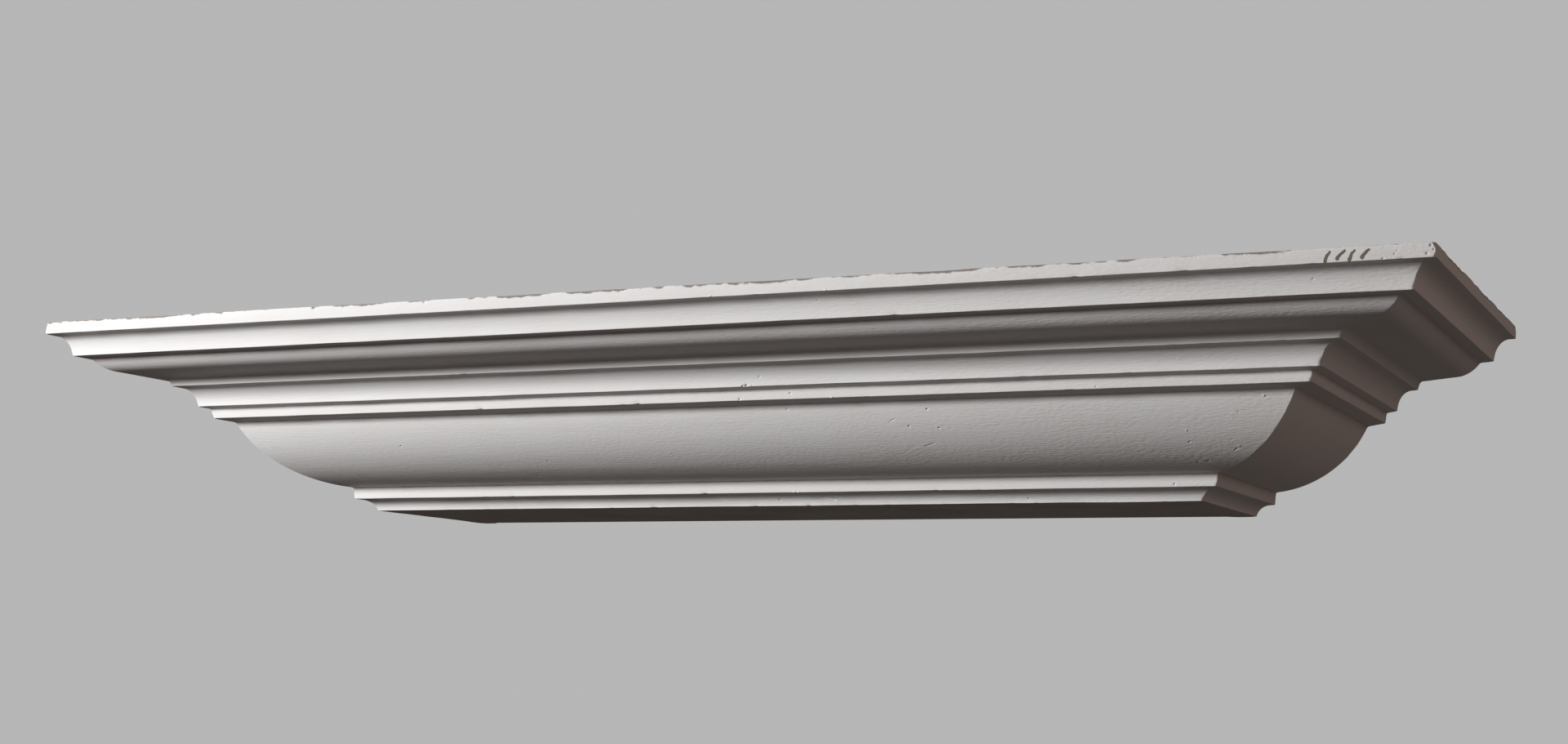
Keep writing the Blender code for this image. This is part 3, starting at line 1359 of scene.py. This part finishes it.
@dataclass(frozen=True)
class TrowelledPlaster:
    """The plainer plaster of the wall face, the top and the bed: levelled with a trowel, dull and dusty,
    its pores darkened with painted shade and a dirty deposit.

    Args:
        grey: The plaster itself.
        stain: Its broad yellowish-brown stains.
        dirt_and_pore_shade: What has gathered in its pores and on it, its colour also standing for painted
            shade in the pores.
        roughness: How matt it is.
        uneven: How much that varies with the stains.
        shine: How strongly it mirrors.
        sweep: Height of the trowel's sweeps, in millimetres.
        grain: Height of the grit, in millimetres.
        pore: Depth of the pores, in millimetres.
        sweeps: The size of the trowel's sweeps.
        slant: How far they are turned from the length, as shares of the other level axis.
        grit: The size of the grit.
        stains: The size of the stains.
        pores: The pores.
        stained: How much the stains show, and how much that varies.
        dirtied: How dirty it is, and how much the grit, the stains and the sweeps add to that.
        pore_shade_and_dirt: How much painted shade and dirty deposit darken the pores.
    """

    grey: Colour = (0.690, 0.672, 0.645)
    stain: Colour = (0.590, 0.550, 0.495)
    # Also painted shade in the pores
    dirt_and_pore_shade: Colour = (0.380, 0.340, 0.295)
    roughness: float = 0.93
    uneven: float = 0.03
    shine: float = 0.25
    sweep: float = 0.22
    grain: float = 0.06
    pore: float = 0.30
    sweeps: Patches = Patches(95 * MM, 7 * MM)
    slant: Span = (0.55, -0.3)
    grit: Patches = Patches(1.8 * MM, 1.8 * MM, 5.0)
    stains: Patches = Patches(70 * MM, 70 * MM, 5.0)
    pores: Bubbles = Bubbles(9 * MM, 0.45, 0.4 * MM, 1.5 * MM)
    stained: Span = (0.38, 0.45)
    dirtied: tuple[float, ...] = (0.12, 0.22, 0.18, -0.12)
    pore_shade_and_dirt: float = 0.6

    def build(self) -> bpy.types.Material:
        """Builds the finish.

        Returns:
            The material.
        """
        bench = Bench("trowelled_plaster")
        at = bench.place()
        x, y, z = at
        sweeps = bench.noise(self.sweeps, (x + y * self.slant[0], y + x * self.slant[1], z))
        grit, stains = bench.noise(self.grit, at), bench.noise(self.stains, at)
        pores = bench.bubbles(self.pores, at)
        bench.raise_surface(sweeps * self.sweep + grit * self.grain - pores * self.pore)
        least, *shares = self.dirtied
        dirty = sum((layer * share for layer, share in zip((grit, stains, sweeps), shares)), start=least)
        least, added = self.stained
        colour = bench.coat(
            self.grey,
            ((stains * added + least).ramp(0.0, 1.0), self.stain),
            (dirty.clamped(), self.dirt_and_pore_shade),
            # Painted shade with a dirty deposit darkens the pores
            (pores * self.pore_shade_and_dirt, self.dirt_and_pore_shade),
        )
        bench.dress(colour, (stains * self.uneven + self.roughness).lesser(1.0), self.shine)
        return bench.material


@dataclass
class Cornice:
    """The whole casting: its mesh, its wear and its two finishes.

    Args:
        casting: The sizes of the sweep.
        wear: What is worn away.
        struck: The finish of the mouldings.
        trowelled: The finish of the flat faces.
        trowel_wave: How far the flat faces dip below their planes.
        trowel_size: The length and the width of the dips.
        trowel_seed: Picks where they are, with the number of the face's axis added to it.
        crease: The turn above which shading breaks at an edge.
        recess_reach: How far from an inner corner the painted shade and dusty deposit reach.
        rub_and_highlight_reach: How far from an arris the painted highlight and rubbing reach.
        crust_reach: How far from the top's edge the crust comes.
        crust_least: How much crust there is where the edge is whole.
    """

    casting: Casting
    wear: Wear
    struck: StruckPlaster = StruckPlaster()
    trowelled: TrowelledPlaster = TrowelledPlaster()
    trowel_wave: float = 0.5 * MM
    trowel_size: Span = (60 * MM, 22 * MM)
    trowel_seed: int = 51
    crease: float = radians(50)
    recess_reach: float = 3.2 * MM
    rub_and_highlight_reach: float = 1.6 * MM
    crust_reach: float = 3.9 * MM
    crust_least: float = 0.36

    def build(self) -> bpy.types.Object:
        """Builds the casting's mesh and dresses it.

        Returns:
            The finished object.
        """
        form = bmesh.new()
        for mark in Mark:
            form.verts.layers.float.new(mark.value)
        self._close(form, self._sweep(form))
        bmesh.ops.recalc_face_normals(form, faces=form.faces)
        self.wear.strike(form, self.casting.section)
        mesh = bpy.data.meshes.new("cornice_casting")
        form.to_mesh(mesh)
        form.free()
        mesh.shade_smooth()
        mesh.set_sharp_from_angle(angle=self.crease)
        mesh.materials.append(self.struck.build(self.casting.section))
        mesh.materials.append(self.trowelled.build())
        return show("cornice_casting", mesh)

    def _sweep(self, form: bmesh.types.BMesh) -> list[Ring]:
        """Sweeps the worn section round the three sides.

        Args:
            form: The mesh under construction.

        Returns:
            Its points, section points by stations.
        """
        section, stations = self.casting.section, self.casting.stations()
        outline, normals, sides = section.outline(), section.normals(), side_row(stations)
        shape = (len(outline), len(stations))
        outs = np.broadcast_to(outline[:, :1], shape)
        heights = np.broadcast_to(outline[:, 1:], shape)
        radii = self.wear.mitre_radii(section, stations)
        true_places = self.casting.places(outs, heights, stations, radii)
        depth = self.wear.depths(section, true_places, sides)
        outs = np.minimum(outs - normals[:, :1] * depth, section.top_out)
        heights = np.clip(heights - normals[:, 1:] * depth, 0.0, section.rise)
        places = self.casting.places(outs, heights, stations, radii)
        grid = [[form.verts.new(place) for place in row] for row in places]
        self._mark(form, grid, section.along(places, sides))
        flat_rows = len(section.lips)
        for row, (below, above) in enumerate(zip(grid, grid[1:])):
            flat = row < flat_rows or row >= len(grid) - 1 - flat_rows
            for left in range(len(stations) - 1):
                face = form.faces.new((below[left], below[left + 1], above[left + 1], above[left]))
                face.material_index = Finish.TROWELLED.value if flat else Finish.STRUCK.value
        return grid

    def _mark(self, form: bmesh.types.BMesh, grid: list[Ring], along: np.ndarray) -> None:
        """Writes the marks that the finish reads on every point of the sweep.

        Args:
            form: The mesh under construction.
            grid: Its points, section points by stations.
            along: Their distances along the mouldings, in the same layout.
        """
        section = self.casting.section
        ragged = self.crust_least + (1 - self.crust_least) * self.wear.raggedness(along)
        # The inner corners carry painted shade and the arrises a painted highlight
        marks = {
            Mark.RECESS: section.nearness(Bend.INNER, self.recess_reach)[:, None],
            Mark.RUBBED: section.nearness(Bend.ARRIS, self.rub_and_highlight_reach)[:, None],
            Mark.BROKEN_EDGE: fall(section.from_top(), self.crust_reach)[:, None] * ragged,
        }
        for mark, shares in marks.items():
            layer = form.verts.layers.float[mark.value]
            for row, row_shares in zip(grid, np.broadcast_to(shares, along.shape)):
                for vertex, share in zip(row, row_shares):
                    vertex[layer] = float(share)

    def _close(self, form: bmesh.types.BMesh, grid: list[Ring]) -> None:
        """Closes the bed, the top and the wall face with evenly spaced triangles.

        Args:
            form: The mesh under construction.
            grid: The points of the sweep, section points by stations.
        """
        bed_back = self._back_edge(form, grid[0])
        top_back = self._back_edge(form, grid[-1])
        left_end = [row[0] for row in grid]
        right_end = [row[-1] for row in grid]
        self._fill(form, grid[0] + bed_back[::-1], Vector((0, 0, 1)))
        self._fill(form, grid[-1] + top_back[::-1], Vector((0, 0, -1)))
        self._fill(form, left_end + top_back + right_end[::-1] + bed_back[::-1], Vector((0, -1, 0)))

    def _back_edge(self, form: bmesh.types.BMesh, ring: Ring) -> Ring:
        """Adds the points along the wall between the two ends of one ring.

        Args:
            form: The mesh under construction.
            ring: The bed's ring or the top's.

        Returns:
            The new points, from left to right.
        """
        start, end = ring[0].co, ring[-1].co
        count = round((end - start).length / self.casting.fill_step)
        return [form.verts.new(start.lerp(end, index / count)) for index in range(1, count)]

    def _fill(self, form: bmesh.types.BMesh, loop: Ring, inward: Vector) -> None:
        """Fills a flat loop with triangles between its own points and a grid of new, slightly sunk ones.

        Args:
            form: The mesh under construction.
            loop: The points round the face, in order.
            inward: The way into the casting from that face.
        """
        step, gap, merge = self.casting.fill_step, self.casting.fill_gap, self.casting.fill_merge
        level_axis = max(range(3), key=lambda axis: abs(inward[axis]))
        axes = [axis for axis in range(3) if axis != level_axis]
        flat = [Vector((vertex.co[axes[0]], vertex.co[axes[1]])) for vertex in loop]
        edges = [(index, (index + 1) % len(flat)) for index in range(len(flat))]
        low = [min(place[axis] for place in flat) for axis in (0, 1)]
        high = [max(place[axis] for place in flat) for axis in (0, 1)]
        inner = []
        for column in np.arange(low[0] + step / 2, high[0], step):
            for row in np.arange(low[1] + step / 2, high[1], step):
                inner.append(Vector((column, row)))
        inner = [place for place in inner if clear_inside(place, flat, step * gap)]
        corners, _, triangles, origins, _, _ = delaunay_2d_cdt(flat + inner, edges, [], 1, merge)
        dips = Grain(self.trowel_seed + level_axis, *self.trowel_size, 0.5)
        vertices = []
        for place, origin in zip(corners, origins):
            source = min(origin) if origin else len(flat)
            if source < len(flat):
                vertices.append(loop[source])
                continue
            spot = Vector((0.0, 0.0, 0.0))
            spot[axes[0]], spot[axes[1]], spot[level_axis] = place.x, place.y, loop[0].co[level_axis]
            dip = self.trowel_wave * (0.5 + float(dips(np.array(place.x), np.array(place.y))))
            vertices.append(form.verts.new(spot + inward * dip))
        for triangle in triangles:
            face = form.faces.new([vertices[corner] for corner in triangle])
            face.material_index = Finish.TROWELLED.value


def clear_inside(place: Vector, outline: list[Vector], gap: float) -> bool:
    """Says whether a place is inside an outline and clear of its points.

    Args:
        place: The place to test.
        outline: The outline's points, in order.
        gap: The least distance to keep from each of them.

    Returns:
        True where the place is inside and clear.
    """
    points = np.array(outline)
    if np.min(np.hypot(points[:, 0] - place.x, points[:, 1] - place.y)) < gap:
        return False
    after = np.roll(points, -1, axis=0)
    crosses = (points[:, 1] > place.y) != (after[:, 1] > place.y)
    rise = np.where(crosses, after[:, 1] - points[:, 1], 1.0)
    at = points[:, 0] + (place.y - points[:, 1]) * (after[:, 0] - points[:, 0]) / rise
    return bool(np.sum(crosses & (at > place.x)) % 2)


def show(name: str, data: bpy.types.ID) -> bpy.types.Object:
    """Puts an object in the scene.

    Args:
        name: Its name.
        data: Its mesh, light or camera.

    Returns:
        The new object.
    """
    shown = bpy.data.objects.new(name, data)
    bpy.context.scene.collection.objects.link(shown)
    return shown


@dataclass(frozen=True)
class Lamp:
    """One soft round light that faces the cornice.

    Args:
        name: Its name.
        place: Where it hangs.
        size: Its width.
        power: Its power in watts.
        colour: The colour of its light.
    """

    name: str
    place: Place
    size: float
    power: float
    colour: Colour = (1.0, 1.0, 1.0)

    def hang(self) -> None:
        """Adds the light and turns it to the middle of the cornice."""
        light = bpy.data.lights.new(self.name, "AREA")
        light.shape = "DISK"
        light.size = self.size
        light.energy = self.power
        light.color = self.colour
        low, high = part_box(NODE)
        aim = (low + high) / 2 - Vector(self.place)
        turned = aim.to_track_quat("-Z", "Y").to_matrix().to_4x4()
        show(self.name, light).matrix_world = Matrix.Translation(self.place) @ turned


@dataclass(frozen=True)
class Studio:
    """The plain pale studio: floor, backdrop, lights and the camera at the photograph's angle.

    Args:
        camera_place: Where the camera stands, below the cornice and to its right.
        camera_yaw: How far it is turned to the left.
        camera_pitch: How far it looks up.
        camera_roll: How far it leans.
        camera_lens: Its focal length, in millimetres.
        camera_sensor: The width of its sensor, in millimetres.
        lamps: The key light at the left, and the weak ones beside and behind the cornice.
        floor_height: The level of the floor, far below the bed as below a door head.
        stage_radius: The radius of the floor and of the dome behind it.
        stage_colour: The tone of both.
        floor_segments: How many sides the floor's edge has.
        dome_segments: How many facets the dome has round it, and from top to bottom.
        fill_strength: How strong the light from all round is.
        fill_colour: Its colour.
    """

    camera_place: Place = (0.7021, -1.5181, -0.1129)
    camera_yaw: float = radians(25.279)
    camera_pitch: float = radians(7.431)
    camera_roll: float = radians(1.255)
    camera_lens: float = 52.13
    camera_sensor: float = 36.0
    lamps: tuple[Lamp, ...] = (
        Lamp("key_light", (-1.65, -1.75, 0.54), size=0.50, power=67.0),
        Lamp("side_light", (2.60, -0.90, 0.75), size=1.5, power=5.5, colour=(1.0, 0.72, 0.62)),
        Lamp("back_light", (-1.50, 2.70, 1.60), size=1.5, power=75.0),
    )
    floor_height: float = -3.6
    stage_radius: float = 9.0
    stage_colour: Colour = (0.47, 0.47, 0.47)
    floor_segments: int = 96
    dome_segments: tuple[int, int] = (64, 32)
    fill_strength: float = 0.060
    fill_colour: Colour = (1.0, 0.84, 0.77)

    def build(self) -> None:
        """Sets up the camera, the lights, the floor and the backdrop."""
        self._camera()
        for lamp in self.lamps:
            lamp.hang()
        self._world()
        self._stage()

    def _camera(self) -> None:
        """Places the camera below the cornice and to its right, as in the photograph."""
        yaw, pitch, roll = self.camera_yaw, self.camera_pitch, self.camera_roll
        forward = Vector((-sin(yaw) * cos(pitch), cos(yaw) * cos(pitch), sin(pitch)))
        level = Vector((cos(yaw), sin(yaw), 0.0))
        upright = level.cross(forward)
        right = cos(roll) * level + sin(roll) * upright
        up = cos(roll) * upright - sin(roll) * level
        camera = show("camera", bpy.data.cameras.new("camera"))
        camera.data.lens = self.camera_lens
        camera.data.sensor_width = self.camera_sensor
        camera.data.sensor_fit = "HORIZONTAL"
        turned = Matrix((right, up, -forward)).transposed().to_4x4()
        camera.matrix_world = Matrix.Translation(self.camera_place) @ turned
        bpy.context.scene.camera = camera

    def _world(self) -> None:
        """Sets the faint warm light that reaches the cornice from all round."""
        world = bpy.data.worlds.new("room")
        world.use_nodes = True
        background = world.node_tree.nodes["Background"]
        background.inputs["Color"].default_value = (*self.fill_colour, 1.0)
        background.inputs["Strength"].default_value = self.fill_strength
        bpy.context.scene.world = world

    def _stage(self) -> None:
        """Adds the pale floor and the pale dome behind it, which light nothing themselves."""
        floor, dome = bmesh.new(), bmesh.new()
        radius, (around, down) = self.stage_radius, self.dome_segments
        bmesh.ops.create_circle(floor, cap_ends=True, segments=self.floor_segments, radius=radius)
        bmesh.ops.create_uvsphere(dome, u_segments=around, v_segments=down, radius=radius)
        for name, form in (("floor", floor), ("backdrop", dome)):
            piece = self._stage_piece(name, form)
            piece.location.z = self.floor_height
            piece.visible_diffuse = False
            piece.visible_glossy = False
            piece.visible_shadow = False

    def _stage_piece(self, name: str, form: bmesh.types.BMesh) -> bpy.types.Object:
        """Makes one piece of the stage in a plain pale finish.

        Args:
            name: Its name.
            form: Its shape.

        Returns:
            The piece.
        """
        mesh = bpy.data.meshes.new(name)
        form.to_mesh(mesh)
        form.free()
        bench = Bench(name)
        bench.dress(colour=(0.0, 0.0, 0.0), roughness=0.5, shine=0.0)
        bench.feed(bench.shader.inputs["Emission Color"], self.stage_colour)
        bench.shader.inputs["Emission Strength"].default_value = 1.0
        mesh.materials.append(bench.material)
        return show(name, mesh)


# Corners that the photograph shows rubbed further round than the rest
WORN_CORNERS = (
    WornCorner(Side.LEFT_RETURN, height=126 * MM, spread=6 * MM, radius=4.6 * MM),
    WornCorner(Side.RIGHT_RETURN, height=127.5 * MM, spread=3 * MM, radius=3.0 * MM),
    WornCorner(Side.RIGHT_RETURN, height=120 * MM, spread=2.2 * MM, radius=2.2 * MM),
    WornCorner(Side.RIGHT_RETURN, height=106 * MM, spread=3 * MM, radius=2.4 * MM),
    WornCorner(Side.RIGHT_RETURN, height=88 * MM, spread=3 * MM, radius=1.8 * MM),
    WornCorner(Side.RIGHT_RETURN, height=74 * MM, spread=4.5 * MM, radius=4.2 * MM),
    WornCorner(Side.RIGHT_RETURN, height=65 * MM, spread=3 * MM, radius=2.4 * MM),
    WornCorner(Side.RIGHT_RETURN, height=9.5 * MM, spread=3 * MM, radius=2.6 * MM),
)

# Nicks, bubbles, lumps and scratches that the photograph shows, from the top fillet down to the foot
BLEMISHES = (
    Blemish.in_mm(471, 120.5, 0.8, 0.8),
    Blemish.in_mm(477.5, 122.7, 0.7, 0.7),
    Blemish.in_mm(479, 124.5, 0.6, 0.6),
    Blemish.in_mm(495, 122, 1.0, 0.9),
    Blemish.in_mm(497, 126.5, 1.1, 1.0),
    Blemish.in_mm(498.5, 124, 0.7, 0.8),
    Blemish.in_mm(51, 120.5, 0.9, -0.5),
    Blemish.in_mm(131, 120, 0.9, -0.5),
    Blemish.in_mm(-166, 126.8, 0.9, 0.8),
    Blemish.in_mm(-257.3, 127.8, 2.2, 1.5, flat=0.0),
    Blemish.in_mm(429.5, 113, 0.7, 0.6),
    Blemish.in_mm(49, 78.5, 0.8, 0.6),
    Blemish.in_mm(36.4, 72.6, 1.2, 1.1),
    Blemish.in_mm(38.8, 73.0, 1.3, 1.2),
    Blemish.in_mm(42.0, 73.4, 0.8, -0.4),
    Blemish.in_mm(67.5, 68, 0.8, 0.8),
    Blemish.in_mm(97.5, 64.3, 0.9, -0.5),
    Blemish.in_mm(30, 65, 1.0, 0.8),
    Blemish.in_mm(59, 59, 0.9, 0.5),
    Blemish.in_mm(159, 56.5, 0.9, 0.7),
    Blemish.in_mm(131, 49.5, 0.5, 0.25, run=(4, 1.5)),
    Blemish.in_mm(144, 46.5, 0.8, 0.7),
    Blemish.in_mm(164.5, 45, 0.8, 0.7),
    Blemish.in_mm(150, 34, 0.45, 0.25, run=(8, 1.7)),
    Blemish.in_mm(144, 33.2, 0.4, -0.15, run=(7, 0.6)),
    Blemish.in_mm(328, 39.9, 0.7, -0.4),
    Blemish.in_mm(328, 33.3, 0.8, 0.5),
    Blemish.in_mm(355, 28.3, 0.7, 0.35, run=(2.0, 0.9)),
    Blemish.in_mm(358.5, 30.4, 0.6, -0.3),
    Blemish.in_mm(328.5, 22.5, 0.9, 0.9),
    Blemish.in_mm(335, 22.7, 1.0, 1.0),
    Blemish.in_mm(380, 58.5, 0.9, -0.5),
    Blemish.in_mm(307, 10.5, 0.9, 0.8),
    Blemish.in_mm(36.0, 8.9, 0.9, -0.5),
    Blemish.in_mm(39.4, 8.8, 1.0, -0.45),
    Blemish.in_mm(54, 6, 0.7, 0.6, run=(8.5, -2)),
    Blemish.in_mm(20, 4.5, 0.8, 0.6),
)


def main() -> None:
    """Builds the cornice and the studio round the frame."""
    logging.basicConfig(level=logging.INFO, format="%(name)s: %(message)s")
    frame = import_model()
    bpy.context.scene.view_settings.view_transform = "Standard"
    section = Section()
    section.read(frame["nodes"][NODE])
    LOG.info("section has %d points", len(section.points))
    piece = Cornice(Casting(section), Wear(corners=WORN_CORNERS, blemishes=BLEMISHES)).build()
    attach(piece, "root")
    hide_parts(NODE)
    triangles = sum(len(face.vertices) - 2 for face in piece.data.polygons)
    LOG.info("%s has %d triangles", piece.name, triangles)
    Studio().build()


if __name__ == "__main__":
    main()
